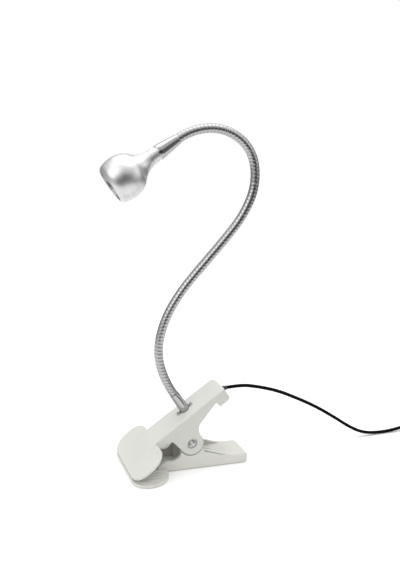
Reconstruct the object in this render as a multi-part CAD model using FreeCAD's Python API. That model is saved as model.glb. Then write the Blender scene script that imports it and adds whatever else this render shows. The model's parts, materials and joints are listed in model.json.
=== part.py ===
"""Clip-on reading lamp: sprung clip, jointed gooseneck neck, small LED head, lead with switch and plug.

Millimetres. +Z up, the jaw points to -X and the finger grips to +X, and Y = 0 is the clip's
mid-plane. The clip lies on its lower lever, whose underside is Z = 0.
"""
import math
import os

import FreeCAD
import Part

V = FreeCAD.Vector
X_AXIS = V(1, 0, 0)
Y_AXIS = V(0, 1, 0)
Z_AXIS = V(0, 0, 1)

# Pivot and the lean of the upper lever
PIVOT_X = 13.5
PIVOT_Z = 22.0
LEAN = 36.3

# Clip body
BODY_W = 25.0
WALL = 2.2
SIDE_GAP = 0.3
LUG_T = 2.6
EAR_R = 9.4
EAR_GAP = 0.9
LUG_R = 8.0
TOP_V = 21.4
TOP_T = 2.6
UNDER = TOP_V - TOP_T
REAR_U = 45.5
WAIST_V = 8.0
WAIST_R = 8.0
GRIP_LEN = 11.0
GRIP_DEPTH = 10.8
GRIP_R = 4.2

# Jaws
JAW_LEN = 29.5
JAW_W = 67.0
JAW_R = 13.0
JAW_REAR_R = 19.5
JAW_T = 2.2
JAW_FRONT = -50.5
JAW_REAR = -19.5
UPPER_JAW_FRONT = -51.5
UPPER_JAW_V = 16.6
JAW_TILT = 5.1
PAD_T = 1.0
PAD_INSET = 3.0
PAD_R = 9.0
GROOVE_W = 0.8
GROOVE_PITCH = 4
GROOVE_SPAN = 26
GROOVE_DEPTH = 0.5
THROAT_X = -15.8
THROAT_Z = 16.0
THROAT_R = 7.5

# Handle of the lower lever
HANDLE_END = 50.9
DECK_T = 1.8
END_R = 6.0
FOOT_INSET = 0.8
FOOT_H = 0.9
THUMB_TOP = 9.4
THUMB_R = 3.0
CREASE_DEPTH = 1.4

# Pivot pin and spring
PIN_R = 2.5
PIN_FIT = 0.05
PIN_HEAD_R = 4.1
PIN_HEAD_T = 0.8
PIN_RECESS = 0.9
RIVET_R = 1.6
DISH_R = 3.0
DISH_BOTTOM_R = 1.3
DISH_DEPTH = 1.7
SPRING_R = 4.6
WIRE_R = 0.75
SPRING_PITCH = 1.62
SPRING_TURNS = 4
SPRING_LOW_DROP = 20.0
SPRING_LOW_LEG = 22.0
SPRING_HIGH_RISE = 70.0
SPRING_HIGH_LEG = 16.2

# Neck
NECK_U = 11.5
NECK_TWIST = -3.0
NECK_R = 3.25
BORE_R = 1.2
STUB_LEN = 17.0
LINK_LEN = 25.05
LINK_TURNS = [-18, -28, -18, -10.5, -1, 2.5, 17.5, 31, 45.5, 38, 31.5]
SIDE_BENDS = (3, 6, 9)
SETBACK = 1.45
BALL_R = 2.7
SOCKET_R = 2.77

# Neck base
BASE_SLEEVE_R = 4.1
BASE_SLEEVE_TOP_R = 3.65
FLANGE_R = 4.3
FLANGE_T = 1.2
SCREW_PITCH = 6.05
SCREW_HEAD_R = 1.65
SCREW_R = 0.9
STUD_R = 2.05
STUD_HOLE_R = 2.1
CLAMP_T = 1.5
CLAMP_L = 25.0
CLAMP_W = 12.0
NUT_R = 4.2
NUT_T = 2.6

# Head
SLEEVE_LEN = 18.0
SLEEVE_R = 3.95
SLEEVE_BIG_R = 5.65
HEAD_LEN = 41.5
LENS_R = 12.6
LENS_DEPTH = 2.3
STEM_R = 1.3
CAVITY_R = 12.7
CAVITY_DEPTH = 20.4

# Lead
GLAND_V = 15.0
GLAND_R = 2.1
GLAND_RISE = 8.0
CORD_R = 1.4
COIL_OUT_R = 21.1
COIL_IN_R = 8.5
COIL_LAYERS = 2
SWITCH_L = 40.0
SWITCH_W = 14.0
SWITCH_H = 9.0
SWITCH_X = 262.0
SWITCH_Y = 10.0
SWITCH_MID = 4.4
ROCKER_Z = 8.0
ROCKER_TILT = 6.0
PLUG_L = 22.0
PLUG_W = 15.0
PLUG_H = 8.0
CONTACT_L = 12.0
CONTACT_W = 12.0
CONTACT_H = 4.5
CONTACT_WALL = 0.3
COIL_X = 314.0
COIL_Y = -12.0

os.makedirs("parts", exist_ok=True)


def save(name, shape):
    """Write one named piece and print its volume and box."""
    shape = shape.removeSplitter()
    shape.exportStep("parts/" + name + ".step")
    box = shape.BoundBox
    print("%-18s %9.1f mm3  solids %d valid %s  x %.1f..%.1f y %.1f..%.1f z %.1f..%.1f" % (
        name, shape.Volume, len(shape.Solids), shape.isValid(),
        box.XMin, box.XMax, box.YMin, box.YMax, box.ZMin, box.ZMax))


def cylinder(radius, start, direction, length):
    return Part.makeCylinder(radius, length, start, direction)


def across(radius, x, z, y0, y1):
    """A cylinder along Y from y0 to y1."""
    return cylinder(radius, V(x, y0, z), Y_AXIS, y1 - y0)


def box(x0, x1, y0, y1, z0, z1):
    return Part.makeBox(x1 - x0, y1 - y0, z1 - z0, V(x0, y0, z0))


def side_plate(points, y0, y1):
    """A plate with an outline in X and Z, from y0 to y1."""
    wire = Part.makePolygon([V(x, y0, z) for x, z in points] + [V(points[0][0], y0, points[0][1])])
    return Part.Face(wire).extrude(V(0, y1 - y0, 0))


def rounded_plate(x0, x1, width, corner, z0, z1):
    """A flat plate centred on Y = 0 with four rounded corners."""
    plate = box(x0, x1, -width / 2, width / 2, z0, z1)
    upright = [e for e in plate.Edges if abs(e.tangentAt(e.FirstParameter).z) > 0.99]
    return plate.makeFillet(corner, upright)


def turned(profile, start, direction):
    """A solid of revolution from (distance along the axis, radius) points."""
    loop = [V(r, 0, d) for d, r in profile]
    face = Part.Face(Part.makePolygon(loop + [loop[0]]))
    solid = face.revolve(V(0, 0, 0), Z_AXIS, 360)
    solid.Placement = FreeCAD.Placement(start, FreeCAD.Rotation(Z_AXIS, direction))
    return solid


def soften(shape, radius, wanted):
    """Round the edges that the test picks."""
    return shape.makeFillet(radius, [e for e in shape.Edges if wanted(e)])


def along(edge, axis):
    return edge.Curve.TypeId == "Part::GeomLine" and abs(edge.tangentAt(edge.FirstParameter).dot(axis)) > 0.99


def mirror_y(shape):
    return shape.mirror(V(0, 0, 0), Y_AXIS)


PIVOT = V(PIVOT_X, 0, PIVOT_Z)
LEVER_PLACE = FreeCAD.Placement(PIVOT, FreeCAD.Rotation(Y_AXIS, -LEAN))
GLAND_SEAT = V(REAR_U, 0, GLAND_V)
GLAND_AIM = V(math.cos(math.radians(GLAND_RISE - LEAN)), 0, math.sin(math.radians(GLAND_RISE - LEAN)))


def on_lever(shape):
    """Move a shape from the upper lever's own frame, whose origin is the pivot, into place."""
    shape = shape.copy()
    shape.Placement = LEVER_PLACE.multiply(shape.Placement)
    return shape


def at_pivot(shape):
    shape = shape.copy()
    shape.translate(PIVOT)
    return shape


# Lower lever, drawn with X and Z from the pivot's foot on the floor
HALF_W = BODY_W / 2
PIN_SEAT = HALF_W - PIN_RECESS - PIN_HEAD_T
EAR_IN = HALF_W - WALL
LUG_OUT = EAR_IN - SIDE_GAP
LUG_IN = LUG_OUT - LUG_T


def lower_jaw():
    """A flat jaw whose rear corners are rounder than its front ones, with softened edges."""
    plate = box(JAW_FRONT, JAW_REAR, -JAW_W / 2, JAW_W / 2, 0, JAW_T)
    front = [e for e in plate.Edges if along(e, Z_AXIS) and e.CenterOfMass.x < JAW_FRONT + 1]
    plate = plate.makeFillet(JAW_REAR - JAW_FRONT - JAW_REAR_R - 0.5, front)
    rear = [e for e in plate.Edges if along(e, Z_AXIS) and e.CenterOfMass.x > JAW_REAR - 1]
    plate = plate.makeFillet(JAW_REAR_R, rear)
    return soften(plate, 0.7, lambda e: e.CenterOfMass.z > JAW_T - 0.01 or e.CenterOfMass.z < 0.01)


def thumb_pad():
    """The crowned end of the handle, open underneath."""
    curve = Part.BSplineCurve()
    top = ((30, 8.5), (36, 9.15), (42, 9.3), (47, 8.4), (49.6, 6.8), (HANDLE_END, 4.6))
    curve.interpolate([V(x, -HALF_W, z) for x, z in top])
    rest = [(HANDLE_END, 4.6), (HANDLE_END - 0.4, 2), (HANDLE_END - 1.4, 0), (30, 0), (30, 8.5)]
    wire = Part.Wire([curve.toShape()] + Part.makePolygon([V(x, -HALF_W, z) for x, z in rest]).Edges)
    block = Part.Face(wire).extrude(V(0, BODY_W, 0))
    crown = box(25, HANDLE_END + 1, -HALF_W, HALF_W, -5, THUMB_TOP)
    crown = soften(crown, THUMB_R, lambda e: along(e, X_AXIS) and e.CenterOfMass.z > THUMB_TOP - 0.1)
    hollow = box(29, HANDLE_END - 2.6, -LUG_OUT, LUG_OUT, -1, 6.3)
    return block.common(crown).cut(hollow)


def lower_lever():
    web = box(JAW_FRONT + 12, LUG_R + 4, -HALF_W, HALF_W, 0, JAW_T)
    outline = [(-27, 0), (-27, 4.5), (-22, 8), (-8, 14.5), (-7, 16), (9.5, 16), (28.4, 9.7), (49, 5.2),
               (49, 0)]
    wall = side_plate(outline, LUG_OUT, HALF_W)
    wall = wall.cut(across(EAR_R + EAR_GAP, 0, PIVOT_Z, LUG_OUT - 1, HALF_W + 1))
    crease = [(10.4, 15.2), (28, 9.35), (28, 9.0), (10.4, 14.2)]
    wall = wall.cut(side_plate(crease, HALF_W - CREASE_DEPTH, HALF_W + 1))
    lug = box(-LUG_R, LUG_R, LUG_IN, LUG_OUT, 0, PIVOT_Z)
    lug = lug.fuse(across(LUG_R, 0, PIVOT_Z, LUG_IN, LUG_OUT))
    brace = side_plate([(8, 0), (8, 14), (22, 4), (22, 0)], LUG_IN, LUG_OUT)
    half = wall.fuse([lug, brace])
    deck_top = [(LUG_R, 8.2), (20, 8.0), (31, 8.5)]
    deck = side_plate(deck_top + [(x, z - DECK_T) for x, z in reversed(deck_top)], -LUG_OUT, LUG_OUT)
    stop = box(LUG_R - 1.6, LUG_R, -LUG_OUT, LUG_OUT, 0, 8.2)
    ribs = [box(x, x + 1.2, -EAR_IN, EAR_IN, 0.8, 3.4) for x in (18, 28, 38)]
    body = web.fuse([half, mirror_y(half), deck, stop, thumb_pad()] + ribs).removeSplitter()
    foot = rounded_end(FOOT_INSET, 0, FOOT_H)
    body = body.common(foot.fuse(rounded_end(0, FOOT_H, 40))).removeSplitter()
    body = body.fuse(lower_jaw()).removeSplitter()
    body = body.cut(across(PIN_R + 0.01, 0, PIVOT_Z, -20, 20))
    return body.cut(across(THROAT_R, THROAT_X, THROAT_Z, -20, 20))


def rounded_end(inset, z0, z1):
    """The clip body's plan between two heights, with its two rear corners rounded."""
    half = HALF_W - inset
    block = box(JAW_FRONT, HANDLE_END - inset, -half, half, z0, z1)
    return soften(block, END_R - inset, lambda e: along(e, Z_AXIS) and e.CenterOfMass.x > 0)


def placed_low(shape):
    shape = shape.copy()
    shape.translate(V(PIVOT_X, 0, 0))
    return shape


save("lower_lever", placed_low(lower_lever()))



def grip_pad(front, z0, grooved_z):
    """A soft pad with grooves that run from front to back and are open at one face."""
    pad = rounded_plate(front + PAD_INSET, front + JAW_LEN - 6.4, JAW_W - 2 * PAD_INSET, PAD_R, z0, z0 + PAD_T)
    return pad.cut([box(front, 0, y, y + GROOVE_W, grooved_z - GROOVE_DEPTH, grooved_z + GROOVE_DEPTH)
                    for y in range(-GROOVE_SPAN, GROOVE_SPAN + 1, GROOVE_PITCH)])


save("lower_jaw_pad", placed_low(grip_pad(JAW_FRONT, JAW_T, JAW_T + PAD_T)))


# Upper lever, drawn in its own frame: X along the lever, Z across it, origin at the pivot
def tilted(shape):
    """Tilt a jaw piece about the front edge of the upper jaw's top face."""
    shape = shape.copy()
    shape.rotate(V(UPPER_JAW_FRONT, 0, UPPER_JAW_V), Y_AXIS, -JAW_TILT)
    return shape


def shoulder():
    """The arm's top running out over the jaw: a ridge that sinks forward and to both sides."""
    sections = []
    for u in (-22.3, -28, -34, -40, -46):
        t = (u + 46) / 23.7
        plate = UPPER_JAW_V + (u - UPPER_JAW_FRONT) * math.tan(math.radians(JAW_TILT))
        rise = 2.2 * (3 * t ** 2 - 2 * t ** 3) - 2.1 * (t ** 3 - t ** 2)
        if t == 1:
            rise = TOP_V - plate
        crown = 11.3 - 3 * (1 - t)
        foot = 14.5 + 6.5 * (1 - t)
        run = foot - crown
        half = [(0, 1), (crown / 2, 1), (crown, 1), (crown + run * 0.3, 0.82), (crown + run * 0.7, 0.18),
                (foot, 0)]
        profile = [(-y, h) for y, h in reversed(half[1:])] + half
        curve = Part.BSplineCurve()
        curve.interpolate([V(u, y, plate + (rise + 0.3) * h - 0.3) for y, h in profile])
        below = [(foot, plate - 0.3), (foot, plate - 1.4), (-foot, plate - 1.4), (-foot, plate - 0.3)]
        sections.append(Part.Wire([curve.toShape()] + Part.makePolygon([V(u, y, z) for y, z in below]).Edges))
    return Part.makeLoft(sections, True, False)


def foot_holes(z, length):
    """The hole for the neck's stud and the two for its screws."""
    middle = cylinder(STUD_HOLE_R, V(NECK_U, 0, z), Z_AXIS, length)
    return middle.fuse([cylinder(SCREW_R, V(NECK_U + side * SCREW_PITCH, 0, z), Z_AXIS, length)
                        for side in (-1, 1)])


def upper_lever():
    top = box(-24, REAR_U, -HALF_W, HALF_W, UNDER, TOP_V)
    jaw = rounded_plate(UPPER_JAW_FRONT, UPPER_JAW_FRONT + JAW_LEN, JAW_W, JAW_R,
                        UPPER_JAW_V - JAW_T, UPPER_JAW_V)
    rim = (UPPER_JAW_V, UPPER_JAW_V - JAW_T)
    jaw = soften(jaw, 0.8, lambda e: min(abs(e.CenterOfMass.z - v) for v in rim) < 0.01)
    wall_points = [(-24, UNDER), (-24, 15.4), (-11.4, 13.6), (-EAR_R, 0), (EAR_R, 0), (EAR_R, WAIST_V),
                   (33, 15.6), (REAR_U, 15.6), (REAR_U, UNDER)]
    wall = side_plate(wall_points, EAR_IN, HALF_W)
    wall = soften(wall, WAIST_R, lambda e: along(e, Y_AXIS) and abs(e.CenterOfMass.z - WAIST_V) < 0.1)
    wall = soften(wall, 4, lambda e: along(e, Y_AXIS) and abs(e.CenterOfMass.z - 13.6) < 0.1)
    wall = wall.fuse(across(EAR_R, 0, 0, EAR_IN, HALF_W))
    grip = box(REAR_U - GRIP_LEN, REAR_U, -HALF_W, HALF_W, TOP_V - GRIP_DEPTH, TOP_V)
    hollow = box(REAR_U - GRIP_LEN + 2.4, REAR_U - 2.4, -EAR_IN, EAR_IN, TOP_V - GRIP_DEPTH - 1, UNDER)
    boss = box(-21.5, -14, -EAR_IN, EAR_IN, 11.5, UNDER)
    boss = soften(boss, 1.5, lambda e: along(e, Y_AXIS) and e.CenterOfMass.z < 11.6)
    lever = top.fuse([wall, mirror_y(wall), grip, boss]).removeSplitter()
    lever = soften(lever, GRIP_R, lambda e: along(e, Z_AXIS) and e.CenterOfMass.x > REAR_U - 0.1)
    lever = soften(lever, 1.7, lambda e: e.CenterOfMass.z > TOP_V - 0.01 and e.CenterOfMass.x > -23.9)
    body = lever.fuse([shoulder(), tilted(jaw)]).removeSplitter()
    body = body.cut(hollow)
    bores = [
        across(PIN_R + PIN_FIT, 0, 0, -20, 20),
        across(PIN_HEAD_R + 0.15, 0, 0, PIN_SEAT - 0.1, HALF_W + 1),
        across(PIN_HEAD_R + 0.15, 0, 0, -HALF_W - 1, -PIN_SEAT + 0.1),
        foot_holes(UNDER - 1, 6),
        cylinder(GLAND_R + 0.05, GLAND_SEAT - GLAND_AIM * 8, GLAND_AIM, 12),
    ]
    return body.cut(bores)


save("upper_lever", on_lever(upper_lever()))

PAD_FACE = UPPER_JAW_V - JAW_T - PAD_T
save("upper_jaw_pad", on_lever(tilted(grip_pad(UPPER_JAW_FRONT, PAD_FACE, PAD_FACE))))


# Pivot pin, its cap and the torsion spring
def pin_head(start, direction):
    """A round head with a turned-down rim and a shallow dish in its end."""
    dish = PIN_HEAD_T - 0.35
    return turned([(0, 0), (0, PIN_HEAD_R), (PIN_HEAD_T - 0.3, PIN_HEAD_R), (PIN_HEAD_T, PIN_HEAD_R - 0.3),
                   (PIN_HEAD_T, 2.6), (dish, 2.2), (dish, 0)], start, direction)


pin = across(PIN_R, 0, 0, -PIN_SEAT, PIN_SEAT).fuse(pin_head(V(0, -PIN_SEAT, 0), Y_AXIS * -1))
pin = pin.cut(across(RIVET_R, 0, 0, PIN_SEAT - 2, PIN_SEAT + 1))
pin = pin.cut(Part.makeCone(DISH_R, DISH_BOTTOM_R, DISH_DEPTH, V(0, -PIN_SEAT - PIN_HEAD_T, 0), Y_AXIS))
save("pivot_pin", at_pivot(pin))
cap = pin_head(V(0, PIN_SEAT, 0), Y_AXIS).fuse(across(RIVET_R, 0, 0, PIN_SEAT - 1.9, PIN_SEAT))
save("pin_cap", at_pivot(cap))


def torsion_spring():
    """A coil round the pin with one leg on the lower lever's floor and one under the upper lever's top."""
    low_aim = math.radians(-SPRING_LOW_DROP)
    high_aim = math.radians(LEAN + SPRING_HIGH_RISE)
    part_turn = (low_aim - high_aim + math.pi) % (2 * math.pi)
    height = SPRING_PITCH * (SPRING_TURNS + part_turn / (2 * math.pi))
    helix = Part.makeHelix(SPRING_PITCH, height, SPRING_R)
    disc = Part.Wire(Part.makeCircle(WIRE_R, V(SPRING_R, 0, 0), Y_AXIS))
    coil = Part.Wire(helix.Edges).makePipeShell([disc], True, True)
    low_leg = cylinder(WIRE_R, V(SPRING_R, 0.3, 0), Y_AXIS * -1, SPRING_LOW_LEG)
    high_leg = cylinder(WIRE_R, V(SPRING_R, -0.3, height), Y_AXIS, SPRING_HIGH_LEG)
    high_leg.rotate(V(0, 0, 0), Z_AXIS, math.degrees(part_turn))
    spring = coil.fuse([low_leg, high_leg])
    inward = V(math.sin(low_aim), 0, -math.cos(low_aim))
    back = V(-math.cos(low_aim), 0, -math.sin(low_aim))
    spring.Placement = FreeCAD.Placement(V(0, -height / 2, 0), FreeCAD.Rotation(inward, back, Y_AXIS, "XYZ"))
    return spring


save("torsion_spring", at_pivot(torsion_spring()))

# Neck base on the upper lever
FOOT = V(NECK_U, 0, TOP_V)
SEAT_V = FLANGE_T + 3
washer = cylinder(FLANGE_R, FOOT, Z_AXIS, FLANGE_T)
save("base_washer", on_lever(washer.cut(cylinder(STUD_HOLE_R, FOOT, Z_AXIS, FLANGE_T))))
sleeve = turned([(FLANGE_T, STUD_HOLE_R), (FLANGE_T, BASE_SLEEVE_R), (STUB_LEN - 3, BASE_SLEEVE_TOP_R + 0.15),
                 (STUB_LEN, BASE_SLEEVE_TOP_R - 0.1), (STUB_LEN, NECK_R), (SEAT_V, NECK_R),
                 (SEAT_V, STUD_HOLE_R)], FOOT, Z_AXIS)
save("base_sleeve", on_lever(sleeve))
clamp = box(NECK_U - CLAMP_L / 2, NECK_U + CLAMP_L / 2, -CLAMP_W / 2, CLAMP_W / 2, UNDER - CLAMP_T, UNDER)
save("neck_clamp_plate", on_lever(clamp.cut(foot_holes(UNDER - 5, 8))))
hexagon = [math.radians(60 * i) for i in range(7)]
nut_top = UNDER - CLAMP_T
nut_wire = Part.makePolygon([V(NECK_U + NUT_R * math.cos(a), NUT_R * math.sin(a), nut_top) for a in hexagon])
nut = Part.Face(nut_wire).extrude(V(0, 0, -NUT_T))
save("base_nut", on_lever(nut.cut(cylinder(STUD_R, V(NECK_U, 0, UNDER - 6), Z_AXIS, 8))))
stud = cylinder(STUD_R, V(NECK_U, 0, UNDER - 5), Z_AXIS, TOP_V + SEAT_V - UNDER + 5)
save("neck_stud", on_lever(stud.cut(cylinder(BORE_R, V(NECK_U, 0, UNDER - 6), Z_AXIS, 20))))
for side, name in ((-1, "neck_screw_front"), (1, "neck_screw_rear")):
    seat = V(NECK_U + side * SCREW_PITCH, 0, TOP_V)
    tip = -TOP_T - 3
    screw = turned([(tip, 0), (tip, SCREW_R), (0, SCREW_R), (0, SCREW_HEAD_R), (0.5, SCREW_HEAD_R),
                    (1.0, SCREW_HEAD_R * 0.72), (1.15, 0)], seat, Z_AXIS)
    slot = box(seat.x - 1.2, seat.x + 1.2, -0.2, 0.2, TOP_V + 0.75, TOP_V + 2)
    cross = box(seat.x - 0.2, seat.x + 0.2, -1.2, 1.2, TOP_V + 0.75, TOP_V + 2)
    save(name, on_lever(screw.cut([slot, cross])))

# Neck: tangent arcs in an upright plane that stands on the neck's foot
FOOT_WORLD = LEVER_PLACE.multVec(FOOT)
PLANE = FreeCAD.Placement(FOOT_WORLD, FreeCAD.Rotation(Z_AXIS, NECK_TWIST))


def in_plane(shape):
    shape = shape.copy()
    shape.Placement = PLANE.multiply(shape.Placement)
    return shape


def heading(angle):
    return V(math.cos(angle), 0, math.sin(angle))


def normal(angle):
    """The direction to the left of a heading."""
    return V(-math.sin(angle), 0, math.cos(angle))


def bend(radius, start, angle, length, turn):
    """A round bar along an arc: it leaves start at the heading angle and turns to the left by turn."""
    centre = start + normal(angle) * (length / turn)
    disc = Part.Face(Part.Wire(Part.makeCircle(radius, start, heading(angle))))
    return disc.revolve(centre, V(0, -1, 0), math.degrees(turn))


def walk(start, angle, length, turn):
    """The point and the heading after an arc of this length and turn."""
    chord = length * math.sin(turn / 2) / (turn / 2)
    return start + heading(angle + turn / 2) * chord, angle + turn


def link(start, angle, turn, first, last):
    """One link: a ball at its lower end and a socket at its upper end, with a bore for the leads."""
    rate = turn / LINK_LEN
    low = 0 if first else SETBACK
    high = LINK_LEN if last else LINK_LEN - SETBACK
    at, facing = walk(start, angle, low, rate * low) if low else (start, angle)
    body = bend(NECK_R, at, facing, high - low, rate * (high - low))
    end, end_angle = walk(start, angle, LINK_LEN, turn)
    if first:
        stub = STUB_LEN - SEAT_V
        body = body.fuse(cylinder(NECK_R, start - heading(angle) * stub, heading(angle), stub))
        body = body.cut(cylinder(BORE_R, start - heading(angle) * 20, heading(angle), 20))
    else:
        body = body.fuse(Part.makeSphere(BALL_R, start))
    if last:
        body = body.fuse(cylinder(NECK_R, end, heading(end_angle), SLEEVE_LEN - 4))
        body = body.cut(cylinder(BORE_R, end, heading(end_angle), 20))
    else:
        body = body.cut(Part.makeSphere(SOCKET_R, end))
    body = body.cut(bend(BORE_R, start, angle, LINK_LEN, turn))
    if not first:
        body = body.cut(cylinder(BORE_R, start - heading(angle) * 4, heading(angle), 4))
    return body


lever_angle = math.radians(90 + LEAN)
point = heading(lever_angle) * STUB_LEN
angle = lever_angle
count = len(LINK_TURNS)
for i, degrees in enumerate(LINK_TURNS, 1):
    turn = math.radians(degrees)
    save("neck_link_%02d" % i, in_plane(link(point, angle, turn, i == 1, i == count)))
    if i > 1:
        axis = PLANE.Rotation.multVec(normal(angle) if i in SIDE_BENDS else V(0, -1, 0))
        joint = PLANE.multVec(point)
        print("JOINT neck_%02d %.3f %.3f %.3f  %.5f %.5f %.5f  turn %s" % (
            i, joint.x, joint.y, joint.z, axis.x, axis.y, axis.z, degrees))
    point, angle = walk(point, angle, LINK_LEN, turn)

# Head: solids of revolution along the neck's last heading
AIM = PLANE.Rotation.multVec(heading(angle))
NECK_END = PLANE.multVec(point)
RIM = NECK_END + AIM * (SLEEVE_LEN + HEAD_LEN)
BACK = AIM * -1
print("HEAD rim %.3f %.3f %.3f aim %.5f %.5f %.5f" % (RIM.x, RIM.y, RIM.z, AIM.x, AIM.y, AIM.z))
print("HEAD neck end %.3f %.3f %.3f" % (NECK_END.x, NECK_END.y, NECK_END.z))

FAR = HEAD_LEN + SLEEVE_LEN
NEAR = HEAD_LEN + 4
sleeve = turned([(HEAD_LEN, STUD_HOLE_R), (HEAD_LEN, SLEEVE_BIG_R - 0.15), (HEAD_LEN + 0.5, SLEEVE_BIG_R),
                 (HEAD_LEN + 2.5, SLEEVE_BIG_R), (FAR - 1, SLEEVE_R), (FAR, SLEEVE_R - 0.2), (FAR, NECK_R),
                 (NEAR, NECK_R), (NEAR, STUD_HOLE_R)], RIM, BACK)
save("head_sleeve", sleeve)



def head_shell():
    """A bell, open at the rim, with a stepped cavity for the lens and lamp and two fine grooves outside."""
    outer = [(0.0, 13.0), (0.5, 13.4), (3.0, 15.2), (5.8, 15.9), (9.6, 16.3), (12.6, 16.3), (15.8, 15.7),
             (19.0, 14.6), (21.8, 12.9), (24.2, 10.6), (26.4, 8.7), (28.4, 7.5), (31.0, 6.5), (34.0, 5.8),
             (38.0, 5.45), (HEAD_LEN, 5.2)]
    edge = Part.BSplineCurve()
    edge.interpolate([V(r, 0, d) for d, r in outer[1:]])
    inner = [(HEAD_LEN, STUD_HOLE_R), (CAVITY_DEPTH, STUD_HOLE_R), (CAVITY_DEPTH, CAVITY_R),
             (LENS_DEPTH, CAVITY_R), (LENS_DEPTH, 11.8), (0.0, 11.8), (0.0, 13.0), (0.5, 13.4)]
    loop = [V(r, 0, d) for d, r in inner]
    rest = Part.makePolygon([V(outer[-1][1], 0, HEAD_LEN)] + loop)
    face = Part.Face(Part.Wire([edge.toShape()] + rest.Edges))
    shell = face.revolve(V(0, 0, 0), Z_AXIS, 360)
    grooves = []
    for depth, radius in ((22.6, 12.15), (24.0, 10.75)):
        grooves.append(Part.makeTorus(radius + 0.05, 0.22, V(0, 0, depth), Z_AXIS))
    shell = shell.cut(grooves)
    shell.Placement = FreeCAD.Placement(RIM, FreeCAD.Rotation(Z_AXIS, BACK))
    return shell


save("head_shell", head_shell())
save("lens", turned([(LENS_DEPTH, 0), (LENS_DEPTH, LENS_R), (LENS_DEPTH + 1.4, LENS_R), (LENS_DEPTH + 1.4, 4),
                     (LENS_DEPTH + 2.6, 2.5), (LENS_DEPTH + 3.0, 0)], RIM, BACK))
save("lens_ring", turned([(3.75, 11.6), (3.75, LENS_R), (5.6, LENS_R), (5.6, 11.6)], RIM, BACK))
save("reflector", turned([(5.7, 11.6), (5.7, LENS_R), (6.5, LENS_R), (13.4, 4.6), (13.4, 3.8)], RIM, BACK))
save("led_board", turned([(13.5, 0), (13.5, 12.4), (15.1, 12.4), (15.1, 0)], RIM, BACK))
dome = [(11.9, 0), (12.0, 1.0), (12.5, 1.6), (13.0, 1.9), (13.0, 2.6), (13.5, 2.6), (13.5, 0)]
save("led_emitter", turned(dome, RIM, BACK))
slug = [(15.15, STEM_R), (15.15, 12.5), (19.5, 12.5), (20.3, 11.8), (20.3, STEM_R)]
save("heat_sink", turned(slug, RIM, BACK))
stem = [(CAVITY_DEPTH, STEM_R), (CAVITY_DEPTH, STUD_HOLE_R), (NEAR, STUD_HOLE_R), (NEAR, STEM_R)]
save("head_stud", turned(stem, RIM, BACK))
for side, name in ((-1, "board_screw_a"), (1, "board_screw_b")):
    seat = RIM + PLANE.Rotation.multVec(Y_AXIS) * (side * 9.0)
    save(name, turned([(12.6, 0), (12.7, 1.2), (13.5, 1.5), (13.5, 0)], seat, BACK))


# Lead: straight runs joined by tangent arcs
def route(points):
    """A wire through the points with an arc at each inner one; prints each arc's radius."""
    edges = []
    here = points[0]
    length = 0
    radii = []
    for i in range(1, len(points) - 1):
        before = points[i] - points[i - 1]
        after = points[i + 1] - points[i]
        half = before.getAngle(after) / 2
        cut = 0.45 * min(before.Length, after.Length)
        radius = cut / math.tan(half)
        radii.append(radius)
        a = points[i] - before.normalize() * cut
        b = points[i] + after.normalize() * cut
        bisector = (before * -1 + after).normalize()
        centre = points[i] + bisector * (radius / math.cos(half))
        middle = centre - bisector * radius
        edges.append(Part.LineSegment(here, a).toShape())
        edges.append(Part.Arc(a, middle, b).toShape())
        here = b
    edges.append(Part.LineSegment(here, points[-1]).toShape())
    wire = Part.Wire(edges)
    print("RUN length %.1f radii %s" % (wire.Length, " ".join("%.0f" % r for r in radii)))
    return wire


def tube(points):
    wire = route(points)
    direction = points[1] - points[0]
    disc = Part.Wire(Part.makeCircle(CORD_R, points[0], direction))
    solid = wire.makePipeShell([disc], True, False)
    print("TUBE volume %.1f section x length %.1f" % (solid.Volume, math.pi * CORD_R ** 2 * wire.Length))
    return solid


boot = cylinder(GLAND_R, GLAND_SEAT - GLAND_AIM * 5, GLAND_AIM, 5.9)
boot = boot.fuse(Part.makeCone(GLAND_R - 0.15, CORD_R + 0.15, 2.9, GLAND_SEAT + GLAND_AIM * 0.8, GLAND_AIM))
save("cable_gland", on_lever(boot))
GLAND_TIP = LEVER_PLACE.multVec(GLAND_SEAT + GLAND_AIM * 3.7)
LEAD_START = GLAND_TIP + V(0.3, 0, 0.04)
print("LEAD start %.3f %.3f %.3f" % (LEAD_START.x, LEAD_START.y, LEAD_START.z))

ground = CORD_R + 0.15
lead = [V(x, y, z) for x, y, z in (
    (LEAD_START.x, 0, LEAD_START.z), (57, 0, 62.7), (71, 0.2, 60.5), (92, 0.8, 54.8), (113, 2.2, 45.4),
    (133.5, 3.8, 35.2), (153.5, 5.4, 23.2), (172, 6.8, 11.2), (188, 7.8, 3.6), (205, 8.6, ground),
    (222, 9.2, ground + 0.4), (SWITCH_X - SWITCH_L / 2 - 5, SWITCH_Y, SWITCH_MID))]
save("lead_run", tube(lead))


def rounded_block(x0, x1, y0, y1, z0, z1, corner):
    block = box(x0, x1, y0, y1, z0, z1)
    return block.makeFillet(corner, [e for e in block.Edges if abs(e.tangentAt(e.FirstParameter).z) > 0.99])


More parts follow.
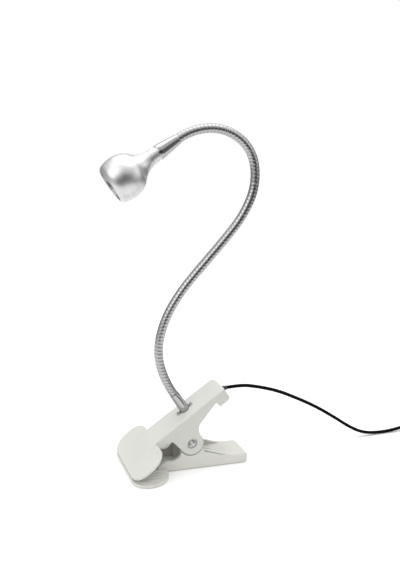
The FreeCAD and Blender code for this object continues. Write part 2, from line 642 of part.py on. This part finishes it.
def switch():
    x0 = SWITCH_X - SWITCH_L / 2
    x1 = SWITCH_X + SWITCH_L / 2
    y0 = SWITCH_Y - SWITCH_W / 2
    y1 = SWITCH_Y + SWITCH_W / 2
    split = SWITCH_MID
    low = rounded_block(x0, x1, y0, y1, 0, split, 4)
    low = low.cut(rounded_block(x0 + 1.5, x1 - 1.5, y0 + 1.5, y1 - 1.5, 1.2, split + 1, 2.5))
    high = rounded_block(x0, x1, y0, y1, split, SWITCH_H, 4)
    high = soften(high, 1.2, lambda e: e.CenterOfMass.z > SWITCH_H - 0.01)
    high = high.cut(rounded_block(x0 + 1.5, x1 - 1.5, y0 + 1.5, y1 - 1.5, split - 1, SWITCH_H - 1.4, 2.5))
    high = high.cut(box(SWITCH_X - 5.4, SWITCH_X + 5.4, SWITCH_Y - 3.4, SWITCH_Y + 3.4, split, SWITCH_H + 1))
    holes = [cylinder(1.9, V(x, SWITCH_Y, split), X_AXIS, 4) for x in (x0 - 1, x1 - 3)]
    return low.cut(holes), high.cut(holes)


case_low, case_high = switch()
save("switch_base", case_low)
save("switch_cover", case_high)
button = box(SWITCH_X - 5, SWITCH_X + 5, SWITCH_Y - 3, SWITCH_Y + 3, SWITCH_MID + 1.2, SWITCH_H + 0.2)
crown = box(SWITCH_X - 5, SWITCH_X + 5, SWITCH_Y - 3, SWITCH_Y + 3, SWITCH_H - 2, SWITCH_H + 3)
button = button.fuse(across(9, SWITCH_X, SWITCH_H - 7.6, SWITCH_Y - 3, SWITCH_Y + 3).common(crown))
button.rotate(V(SWITCH_X, SWITCH_Y, ROCKER_Z), Y_AXIS, -ROCKER_TILT)
print("JOINT rocker %.3f %.3f %.3f" % (SWITCH_X, SWITCH_Y, ROCKER_Z))
save("switch_rocker", button.removeSplitter())
for side, name in ((-1, "switch_relief_in"), (1, "switch_relief_out")):
    root = V(SWITCH_X + side * (SWITCH_L / 2 - 1.5), SWITCH_Y, SWITCH_MID)
    direction = X_AXIS * side
    cone = [(0, 0), (0, 1.88), (1.5, 1.88), (1.5, 2.7), (3, 2.7), (6.5, 1.9), (6.5, 0)]
    save(name, turned(cone, root, direction))

link_points = [V(SWITCH_X + SWITCH_L / 2 + 5, SWITCH_Y, SWITCH_MID), V(294.5, 10.1, 3.2), V(302, 9.8, 1.8),
               V(COIL_X - 4.5, COIL_Y + COIL_OUT_R - 0.1, ground)]
save("lead_link", tube(link_points))
COIL_SIDE_R = COIL_OUT_R + CORD_R
COIL_EYE_R = COIL_IN_R - CORD_R
COIL_H = COIL_LAYERS * 2 * CORD_R + 0.1
coil = Part.makeCylinder(COIL_SIDE_R, COIL_H, V(COIL_X, COIL_Y, 0.02))
save("lead_coil", coil.cut(Part.makeCylinder(COIL_EYE_R, 20, V(COIL_X, COIL_Y, -1))))
x0 = COIL_X + COIL_EYE_R
x1 = COIL_X + COIL_SIDE_R
tie = box(x0 - 0.8, x1 + 0.8, COIL_Y - 2.5, COIL_Y + 2.5, 0, COIL_H + 0.8)
tie = soften(tie, 0.6, lambda e: along(e, Y_AXIS) and e.CenterOfMass.z > 1)
tie = tie.cut(box(x0, x1, COIL_Y - 3, COIL_Y + 3, -1, COIL_H + 0.02))
save("coil_tie", tie)
tail_y = COIL_Y - COIL_OUT_R
tail = [V(COIL_X - 5, tail_y - 0.1, 4.1), V(COIL_X - 15, tail_y - 0.7, 2.6), V(COIL_X - 25, tail_y - 0.4, 2.9),
        V(COIL_X - 35, tail_y, 4.0)]
save("lead_tail", tube(tail))

px = tail[-1].x - 8
py = tail[-1].y
mid = PLUG_H / 2
mould = rounded_block(px - PLUG_L, px, py - PLUG_W / 2, py + PLUG_W / 2, 0, PLUG_H, 3)
mould = soften(mould, 1.2, lambda e: e.CenterOfMass.z > PLUG_H - 0.01)
boot = turned([(0, 0), (0, 3.2), (8.2, 2.0), (8.2, 0)], V(px - 0.2, py, mid), X_AXIS)
save("plug_mould", mould.fuse(boot))
x1 = px - PLUG_L
x0 = x1 - CONTACT_L
half = CONTACT_W / 2
high = CONTACT_H / 2
bore = (half - CONTACT_WALL, high - CONTACT_WALL)
shell = box(x0, x1, py - half, py + half, mid - high, mid + high)
shell = shell.cut(box(x0 - 1, x1, py - bore[0], py + bore[0], mid - bore[1], mid + bore[1]))
shell = shell.cut([box(x0 + 4, x0 + 6.4, py + s - 1.2, py + s + 1.2, mid + 1, mid + 3) for s in (-3, 3)])
save("plug_shell", shell)
save("plug_tongue", box(x0 + 0.8, x1, py - bore[0] + 0.1, py + bore[0] - 0.1, mid - 1.9, mid - 0.1))
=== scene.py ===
"""Clip-on reading lamp, in metres, in the frame of the CAD model: +Z up, the jaw points to -X.

The CAD pieces keep their shapes and get finished materials. The neck's links are replaced by a
wound steel hose, and the straight and coiled CAD lead by one flexible lead.
"""
import json
import math

import bmesh
import bpy
from mathutils import Matrix, Quaternion, Vector


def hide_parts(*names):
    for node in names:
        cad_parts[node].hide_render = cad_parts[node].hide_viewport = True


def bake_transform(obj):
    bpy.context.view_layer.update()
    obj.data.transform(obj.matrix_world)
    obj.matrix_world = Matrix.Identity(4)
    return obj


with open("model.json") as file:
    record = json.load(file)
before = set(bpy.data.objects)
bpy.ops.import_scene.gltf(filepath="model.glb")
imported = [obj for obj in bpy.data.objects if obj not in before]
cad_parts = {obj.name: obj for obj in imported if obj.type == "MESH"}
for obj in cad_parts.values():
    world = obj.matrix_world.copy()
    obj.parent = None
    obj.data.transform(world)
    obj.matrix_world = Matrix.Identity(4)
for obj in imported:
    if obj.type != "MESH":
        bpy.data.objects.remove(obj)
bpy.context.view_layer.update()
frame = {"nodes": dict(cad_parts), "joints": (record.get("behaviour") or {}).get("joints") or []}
MM = 0.001
JOINTS = {joint["name"]: joint for joint in frame["joints"]}
PIVOT = Vector(JOINTS["jaw_hinge"]["pos_m"])


# Camera
AZIMUTH = math.radians(-21.95)
ELEVATION = math.radians(12.83)
ROLL = math.radians(3.88)
DISTANCE = 0.5483
AIM_RIGHT = 0.0105
AIM_UP = 0.1214
LENS = 43.3
SENSOR = 36

level = Vector((math.cos(AZIMUTH), math.sin(AZIMUTH), 0))
back = Vector((level.y, -level.x, 0)) * math.cos(ELEVATION) + Vector((0, 0, math.sin(ELEVATION)))
right = Quaternion(back, ROLL) @ level
up = back.cross(right)
camera = bpy.data.objects.new("camera", bpy.data.cameras.new("camera"))
bpy.context.scene.collection.objects.link(camera)
camera.data.lens = LENS
camera.data.sensor_width = SENSOR
camera.data.clip_start = 0.01
place = PIVOT + right * AIM_RIGHT + up * AIM_UP + back * DISTANCE
camera.matrix_world = Matrix((right, up, back)).transposed().to_4x4()
camera.matrix_world.translation = place
bpy.context.scene.camera = camera


# Materials
GRAIN_HEIGHT = 0.04 * MM
POLISH_HEIGHT = 0.03 * MM
HOSE_GRAIN_HEIGHT = 0.02 * MM
LATHE_LINES = 5200
CLOUDS = [(0.3, 0.0), (0.7, 1.0)]
LENS_IOR = 1.49


def tree_of(name):
    """A new material with its node tree and its shader."""
    material = bpy.data.materials.new(name)
    material.use_nodes = True
    return material, material.node_tree, material.node_tree.nodes["Principled BSDF"]


def add(tree, kind, links=(), **values):
    """Add a shader node, set its properties and sockets, and link the given sockets."""
    node = tree.nodes.new("ShaderNode" + kind)
    for key, value in values.items():
        if hasattr(node, key):
            setattr(node, key, value)
        else:
            node.inputs[key.replace("_", " ")].default_value = value
    for socket, source in links:
        tree.links.new(source, node.inputs[socket])
    return node


def ramp(tree, source, stops):
    """A colour ramp over a value, from (position, grey or colour) stops."""
    node = add(tree, "ValToRGB", [("Fac", source)])
    marks = node.color_ramp.elements
    while len(marks) < len(stops):
        marks.new(1)
    for mark, (position, colour) in zip(marks, stops):
        mark.position = position
        mark.color = (colour, colour, colour, 1) if isinstance(colour, float) else (*colour, 1)
    return node.outputs["Color"]


def coordinates(tree):
    return add(tree, "TexCoord").outputs["Object"]


def noise(tree, scale, detail=3, along=None):
    """Even noise in object coordinates, or along a given vector."""
    source = along or coordinates(tree)
    return add(tree, "TexNoise", [("Vector", source)], Scale=scale, Detail=detail).outputs["Fac"]


def bump(tree, shader, height, strength, distance):
    """Fine relief that only the shading sees."""
    node = add(tree, "Bump", [("Height", height)], Strength=strength, Distance=distance)
    tree.links.new(node.outputs["Normal"], shader.inputs["Normal"])


def shaded(colour, share):
    return tuple(c * share for c in colour)


def mixed(tree, low, high, factor):
    """A colour between two, by a factor."""
    node = add(tree, "Mix", data_type="RGBA")
    tree.links.new(factor, node.inputs["Factor"])
    node.inputs["A"].default_value = (*low, 1)
    node.inputs["B"].default_value = (*high, 1)
    return node.outputs["Result"]


def finish(tree, shader, colour, gloss):
    """Give a shader its colour and its roughness."""
    tree.links.new(colour, shader.inputs["Base Color"])
    tree.links.new(gloss, shader.inputs["Roughness"])


def plastic(name, colour, rough, grain=2500, grain_strength=0.12, tint=0.03, shine=0.5):
    """Moulded plastic: fine mould grain, faint flow marks and small changes of colour and gloss."""
    material, tree, shader = tree_of(name)
    cloud = ramp(tree, noise(tree, 28, 4), CLOUDS)
    gloss = ramp(tree, noise(tree, 140, 5), [(0.3, rough - 0.05), (0.72, rough + 0.05)])
    finish(tree, shader, mixed(tree, shaded(colour, 1 - tint), colour, cloud), gloss)
    bump(tree, shader, noise(tree, grain, 2), grain_strength, GRAIN_HEIGHT)
    shader.inputs["Specular IOR Level"].default_value = shine
    return material


def metal(name, colour, rough):
    """Polished or plated metal with faint polishing marks and slightly uneven gloss."""
    material, tree, shader = tree_of(name)
    shader.inputs["Metallic"].default_value = 1.0
    cloud = ramp(tree, noise(tree, 60, 4), [(0.35, 0.0), (0.7, 1.0)])
    gloss = ramp(tree, noise(tree, 320, 5), [(0.3, rough - 0.04), (0.75, rough + 0.04)])
    finish(tree, shader, mixed(tree, shaded(colour, 0.9), colour, cloud), gloss)
    bump(tree, shader, noise(tree, 900, 3), 0.05, POLISH_HEIGHT)
    return material


def turned_metal(name, colour, rough, origin, axis):
    """Metal turned on a lathe: fine rings round an axis, in bump, colour and gloss."""
    material, tree, shader = tree_of(name)
    shader.inputs["Metallic"].default_value = 1.0
    offset = add(tree, "VectorMath", [(0, coordinates(tree))], operation="SUBTRACT")
    offset.inputs[1].default_value = origin
    depth = add(tree, "VectorMath", [(0, offset.outputs["Vector"])], operation="DOT_PRODUCT")
    depth.inputs[1].default_value = axis
    along = add(tree, "CombineXYZ", [("X", depth.outputs["Value"])]).outputs["Vector"]
    rings = noise(tree, LATHE_LINES, 3, along)
    broad = noise(tree, LATHE_LINES / 12, 2, along)
    both = add(tree, "Math", [(0, rings), (1, broad)], operation="ADD").outputs["Value"]
    gloss = ramp(tree, rings, [(0.25, rough - 0.06), (0.8, rough + 0.08)])
    finish(tree, shader, mixed(tree, shaded(colour, 0.86), colour, ramp(tree, broad, CLOUDS)), gloss)
    bump(tree, shader, both, 0.12, POLISH_HEIGHT)
    return material


def hose_metal(name, colour, rough):
    """Bright wound steel with painted shade: its colour is darker down in the joints between its turns,
    which the mesh marks.
    """
    material, tree, shader = tree_of(name)
    shader.inputs["Metallic"].default_value = 1.0
    depth = add(tree, "Attribute", attribute_name="joint").outputs["Fac"]
    # painted shade: the colour darkens towards the joints between turns, where shade falls
    painted_joint_shade = ramp(tree, depth, [(0.0, colour), (0.5, shaded(colour, 0.8)), (1.0, shaded(colour, 0.45))])
    gloss = ramp(tree, noise(tree, 700, 4), [(0.3, rough - 0.04), (0.75, rough + 0.06)])
    finish(tree, shader, painted_joint_shade, gloss)
    bump(tree, shader, noise(tree, 2600, 2), 0.06, HOSE_GRAIN_HEIGHT)
    return material


def clear_plastic(name, rough):
    """Clear moulded plastic with a slightly uneven surface."""
    material, tree, shader = tree_of(name)
    shader.inputs["Transmission Weight"].default_value = 1.0
    shader.inputs["IOR"].default_value = LENS_IOR
    gloss = ramp(tree, noise(tree, 60, 2), [(0.3, rough), (0.8, rough + 0.03)])
    finish(tree, shader, mixed(tree, (0.93, 0.95, 0.96), (0.97, 0.98, 0.98), noise(tree, 40)), gloss)
    return material


# Lead: the route's points, then the coil's turns and the plug's tail
def metres(*points):
    """Points given in millimetres."""
    return [Vector(point) * MM for point in points]


CORD_R = 1.4 * MM
COIL_MIDDLE = Vector((314.0, -12.0, 0)) * MM
COIL_OUT_R = 21.1 * MM
COIL_IN_R = 8.5 * MM
TURNS_IN = 4.5
TURNS_OVER = 0.5
TURN_POINTS = 16
LOW_LAYER = 1.5 * MM
HIGH_LAYER = 4.25 * MM
route = metres((45.254, 0, 61.58), (57, 0, 62.7), (71, 0.2, 60.5), (92, 0.8, 54.8), (113, 2.2, 45.4),
               (133.5, 3.8, 35.2), (153.5, 5.4, 23.2), (172, 6.8, 11.2), (188, 7.8, 3.6),
               (205, 8.6, 1.55), (222, 9.2, 1.95), (237, 10, 4.4), (262, 10, 4.4), (287, 10, 4.4),
               (294.5, 10.1, 3.2), (302, 9.8, 1.8))
tail = metres((309, -33.2, 4.1), (299, -33.8, 2.6), (289, -33.5, 2.9), (279, -33.1, 4.0), (273, -33.1, 4.0))


def coil_points():
    """Turns side by side: inward along the floor, up at the eye, and outward on top."""
    points = []
    for i in range(round((2 * TURNS_IN + TURNS_OVER) * TURN_POINTS)):
        turn = i / TURN_POINTS
        climb = min(max((turn - TURNS_IN + TURNS_OVER) / (2 * TURNS_OVER), 0), 1)
        steps = turn if turn < TURNS_IN else max(2 * TURNS_IN + TURNS_OVER - turn, 0)
        radius = max(COIL_OUT_R - 2 * CORD_R * steps, COIL_IN_R)
        lift = LOW_LAYER + (HIGH_LAYER - LOW_LAYER) * climb
        angle = math.pi / 2 - 2 * math.pi * turn
        offset = Vector((math.cos(angle) * radius, math.sin(angle) * radius, lift))
        points.append(COIL_MIDDLE + offset)
    return points


def nurbs(name, points):
    """A smooth curve along the points."""
    curve = bpy.data.curves.new(name, "CURVE")
    curve.dimensions = "3D"
    spline = curve.splines.new("NURBS")
    spline.points.add(len(points) - 1)
    for target, point in zip(spline.points, points):
        target.co = (*point, 1)
    spline.order_u = 3
    spline.use_endpoint_u = True
    spline.resolution_u = 6
    curve.use_fill_caps = True
    item = bpy.data.objects.new(name, curve)
    bpy.context.scene.collection.objects.link(item)
    return item


def centreline(curve):
    """The points that a curve's spline runs through."""
    line = bpy.data.meshes.new_from_object(curve)
    points = [tuple(v.co) for v in line.vertices]
    bpy.data.meshes.remove(line)
    return points


def into_mesh(curve, name):
    """A mesh object in place of a curve object."""
    shape = curve.evaluated_get(bpy.context.evaluated_depsgraph_get())
    mesh = bpy.data.meshes.new_from_object(shape)
    item = bpy.data.objects.new(name, mesh)
    bpy.context.scene.collection.objects.link(item)
    bpy.data.objects.remove(curve)
    return item


line = nurbs("lead_line", route + coil_points() + tail)
lead_path = centreline(line)
line.data.bevel_depth = CORD_R
line.data.bevel_resolution = 5
bpy.context.view_layer.update()
lead = into_mesh(line, "lead")
for face in lead.data.polygons:
    face.use_smooth = True
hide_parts("lead_run", "lead_link", "lead_coil", "lead_tail")
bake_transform(lead)


# Neck: a hose of wound strip along tangent arcs through the CAD joints
LEAN = math.radians(36.3)
NECK_U = 11.5 * MM
TOP_V = 21.4 * MM
STUB_LEN = 17.0 * MM
NECK_TWIST = math.radians(-3.0)
LINK_LEN = 25.05 * MM
LAST_TURN = math.radians(31.5)
FOOT_TUCK = STUB_LEN / 4
HEAD_TUCK = 4 * MM
HOSE_R = 3.45 * MM
STRIP = 2.8 * MM
CROWN = 0.03 * MM
GROOVE = 0.16 * MM
RINGS_PER_STRIP = 12
AROUND = 40

lever_x = Vector((math.cos(LEAN), 0, math.sin(LEAN)))
lever_up = Vector((-math.sin(LEAN), 0, math.cos(LEAN)))
turn_plane = Matrix.Rotation(NECK_TWIST, 3, "Z")
plane_y = turn_plane @ Vector((0, 1, 0))
foot = PIVOT + lever_x * NECK_U + lever_up * TOP_V
first_heading = turn_plane @ lever_up
knots = [foot + first_heading * STUB_LEN]
neck_joints = [joint for joint in frame["joints"] if joint["name"].startswith("neck_")]
bends = sorted(neck_joints, key=lambda joint: joint["name"][-2:])
knots += [Vector(joint["pos_m"]) for joint in bends]
headings = [first_heading]
for a, b in zip(knots, knots[1:]):
    chord = (b - a).normalized()
    headings.append(chord * (2 * headings[-1].dot(chord)) - headings[-1])
half_turn = LAST_TURN / 2
half_way = Quaternion(plane_y, -half_turn)
knots.append(knots[-1] + half_way @ headings[-1] * (LINK_LEN * math.sin(half_turn) / half_turn))
headings.append(half_way @ half_way @ headings[-1])
full_length = LINK_LEN * (len(knots) - 1)


def on_neck(s):
    """The point and heading at a length along the neck, measured from the base sleeve's mouth."""
    if s < 0:
        return knots[0] + headings[0] * s, headings[0]
    if s > full_length:
        return knots[-1] + headings[-1] * (s - full_length), headings[-1]
    index = min(int(s / LINK_LEN), len(knots) - 2)
    heading = headings[index]
    chord = knots[index + 1] - knots[index]
    rest = s - index * LINK_LEN
    side = 1 if heading.cross(chord).dot(plane_y) > 0 else -1
    swing = side * heading.angle(chord.normalized()) * (rest / LINK_LEN)
    reach = rest * (math.sin(swing) / swing if swing else 1)
    toward = Quaternion(plane_y, swing) @ heading
    return knots[index] + toward * reach, Quaternion(plane_y, 2 * swing) @ heading


def hose(name, s0, s1):
    """A closed length of hose; its turns run on from one length to the next."""
    count = round((s1 - s0) / STRIP * RINGS_PER_STRIP)
    mesh = bmesh.new()
    # the "joint" layer holds the painted shade mask that darkens the steel's colour in the joints
    depth = mesh.verts.layers.float.new("joint")
    rings = []
    for i in range(count + 1):
        s = s0 + (s1 - s0) * i / count
        centre, heading = on_neck(s)
        out = plane_y.cross(heading)
        ring = []
        for k in range(AROUND):
            angle = 2 * math.pi * k / AROUND
            phase = (s / STRIP + k / AROUND) % 1
            edge = abs(2 * phase - 1)  # 0 on the crown of a turn, 1 at the joint between two
            radius = HOSE_R - CROWN * edge ** 2 - GROOVE * edge ** 8
            spoke = out * math.cos(angle) + plane_y * math.sin(angle)
            vert = mesh.verts.new(centre + spoke * radius)
            # painted shade: how strongly the joints' shade is painted at this point
            vert[depth] = edge ** 6
            ring.append(vert)
        rings.append(ring)
    for a, b in zip(rings, rings[1:]):
        for k in range(AROUND):
            mesh.faces.new((a[k], a[(k + 1) % AROUND], b[(k + 1) % AROUND], b[k]))
    mesh.faces.new(rings[0][::-1])
    mesh.faces.new(rings[-1])
    bmesh.ops.recalc_face_normals(mesh, faces=mesh.faces)
    data = bpy.data.meshes.new(name)
    mesh.to_mesh(data)
    mesh.free()
    for face in data.polygons:
        face.use_smooth = len(face.vertices) == 4
    item = bpy.data.objects.new(name, data)
    bpy.context.scene.collection.objects.link(item)
    return item


steel_hose = hose_metal("neck_steel_finish", (0.42, 0.42, 0.42), 0.26)
last = len(bends)
for i, joint in enumerate(bends, 1):
    s0 = -FOOT_TUCK if i == 1 else (i - 0.5) * LINK_LEN
    s1 = full_length + HEAD_TUCK if i == last else (i + 0.5) * LINK_LEN
    piece = hose("neck_hose_%02d" % i, s0, s1)
    piece.data.materials.append(steel_hose)
    links = (i, i + 1) if i == last else (i,)
    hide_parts(*("neck_link_%02d" % link for link in links))
    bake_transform(piece)


# Finishes of the CAD pieces
head_axis = headings[-1]
neck_end = knots[-1]
head_metal = turned_metal("head_finish", (0.68, 0.68, 0.685), 0.38, neck_end, head_axis)
chrome = metal("chrome_finish", (0.44, 0.44, 0.445), 0.14)
screw_steel = metal("screw_finish", (0.36, 0.36, 0.36), 0.3)
plated = metal("plated_finish", (0.48, 0.48, 0.47), 0.34)
# Both levers are the same white plastic; the lower lever's colour is made lighter as painted light, to
# offset the shade that the upper jaw casts on it.
white_upper = plastic("clip_upper_finish", (0.60, 0.60, 0.565), 0.42)
white_lower_painted_light = plastic("clip_lower_painted_light_finish", (0.63, 0.63, 0.585), 0.42)
rubber = plastic("pad_finish", (0.62, 0.62, 0.58), 0.75, grain=1200, grain_strength=0.3)
black = plastic("black_finish", (0.018, 0.018, 0.019), 0.42, grain=3000, grain_strength=0.3)
cable = plastic("cable_finish", (0.003, 0.003, 0.003), 0.6, grain=1800, grain_strength=0.2, shine=0.04)
finishes = {
    head_metal: ["head_shell"],
    turned_metal("sink_finish", (0.7, 0.7, 0.7), 0.35, neck_end, head_axis): ["heat_sink"],
    chrome: ["base_sleeve", "head_sleeve"],
    screw_steel: ["base_washer", "neck_screw_front", "neck_screw_rear"],
    plated: ["neck_clamp_plate", "base_nut", "neck_stud", "head_stud", "board_screw_a", "board_screw_b",
             "torsion_spring", "pivot_pin", "pin_cap", "plug_shell"],
    white_upper: ["upper_lever"],
    white_lower_painted_light: ["lower_lever"],
    rubber: ["lower_jaw_pad", "upper_jaw_pad"],
    black: ["cable_gland", "switch_base", "switch_cover", "switch_relief_in", "switch_relief_out",
            "switch_rocker", "plug_mould", "coil_tie", "lens_ring"],
    plastic("carrier_finish", (0.85, 0.85, 0.83), 0.4): ["plug_tongue", "led_board"],
    metal("reflector_finish", (0.92, 0.92, 0.93), 0.1): ["reflector"],
    plastic("emitter_finish", (0.85, 0.68, 0.12), 0.3): ["led_emitter"],
    clear_plastic("lens_finish", 0.06): ["lens"],
}
for material, names in finishes.items():
    for name in names:
        item = frame["nodes"][name]
        item.data.materials.clear()
        item.data.materials.append(material)
lead.data.materials.clear()
lead.data.materials.append(cable)


# Floor and light
FLOOR_R = 0.6
FLOOR_MIDDLE = (0.1, 0.1, 0)
LIGHTS_AIM = Vector((0, 0, 0.12))
STUDIO_FRONT = Vector((-0.374, -0.927, 0))
STUDIO_RIGHT = Vector((0.927, -0.374, 0))
STUDIO_TOP = 0.9
STUDIO_TOP_FADE = [(0.25, 0.0), (0.6, 1.0)]
STUDIO_WALLS = [(0.0, 0.7), (0.10, 0.35), (0.22, 0.42), (0.32, 0.62), (0.43, 0.5), (0.48, 0.22),
                (0.52, 0.02), (0.57, 0.02), (0.63, 0.2), (0.88, 0.26), (1.0, 0.7)]


def soft_light(name, place, size, power):
    """A rectangular lamp that shines at the middle of the scene."""
    data = bpy.data.lights.new(name, "AREA")
    data.shape = "RECTANGLE"
    data.size = size[0]
    data.size_y = size[1]
    data.energy = power
    item = bpy.data.objects.new(name, data)
    bpy.context.scene.collection.objects.link(item)
    item.location = place
    item.rotation_euler = (Vector(place) - LIGHTS_AIM).to_track_quat("Z", "Y").to_euler()


def round_floor():
    """A disc that the lamp stands on."""
    mesh = bmesh.new()
    bmesh.ops.create_circle(mesh, cap_ends=True, radius=FLOOR_R, segments=96)
    data = bpy.data.meshes.new("floor")
    mesh.to_mesh(data)
    mesh.free()
    item = bpy.data.objects.new("floor", data)
    bpy.context.scene.collection.objects.link(item)
    item.location = FLOOR_MIDDLE
    return item


def studio_world():
    """A white backdrop for the camera. Reflections see a soft box on the left, a dark gap in front and
    grey on the right, all under a bright top.
    """
    world = bpy.data.worlds.new("studio")
    world.use_nodes = True
    tree = world.node_tree
    direction = add(tree, "TexCoord").outputs["Generated"]
    parts = []
    for axis in (STUDIO_FRONT, STUDIO_RIGHT, Vector((0, 0, 1))):
        part = add(tree, "VectorMath", [(0, direction)], operation="DOT_PRODUCT")
        part.inputs[1].default_value = axis
        parts.append(part.outputs["Value"])
    angle = add(tree, "Math", [(0, parts[1]), (1, parts[0])], operation="ARCTAN2").outputs["Value"]
    turn = add(tree, "Math", [(0, angle)], operation="MULTIPLY_ADD")
    turn.inputs[1].default_value = 1 / (2 * math.pi)
    turn.inputs[2].default_value = 0.5
    around = ramp(tree, turn.outputs["Value"], STUDIO_WALLS)
    height = ramp(tree, parts[2], STUDIO_TOP_FADE)
    walls = add(tree, "Mix", data_type="RGBA")
    tree.links.new(height, walls.inputs["Factor"])
    tree.links.new(around, walls.inputs["A"])
    walls.inputs["B"].default_value = (STUDIO_TOP, STUDIO_TOP, STUDIO_TOP, 1)
    shown = add(tree, "Mix", data_type="RGBA")
    tree.links.new(add(tree, "LightPath").outputs["Is Camera Ray"], shown.inputs["Factor"])
    tree.links.new(walls.outputs["Result"], shown.inputs["A"])
    shown.inputs["B"].default_value = (1, 1, 1, 1)
    tree.links.new(shown.outputs["Result"], tree.nodes["Background"].inputs["Color"])
    bpy.context.scene.world = world


pale = plastic("floor_finish", (0.93, 0.93, 0.93), 0.9, grain=300, grain_strength=0.02, tint=0.01)
floor = round_floor()
floor.data.materials.append(pale)
studio_world()
soft_light("key", (-1.3, -0.7, 0.9), (1.4, 1.2), 8)
soft_light("fill", (1.2, -0.8, 0.7), (1.0, 1.0), 3)
soft_light("top", (0.1, 0.2, 1.6), (2.2, 1.8), 17.5)
bpy.context.scene.view_settings.view_transform = "Standard"
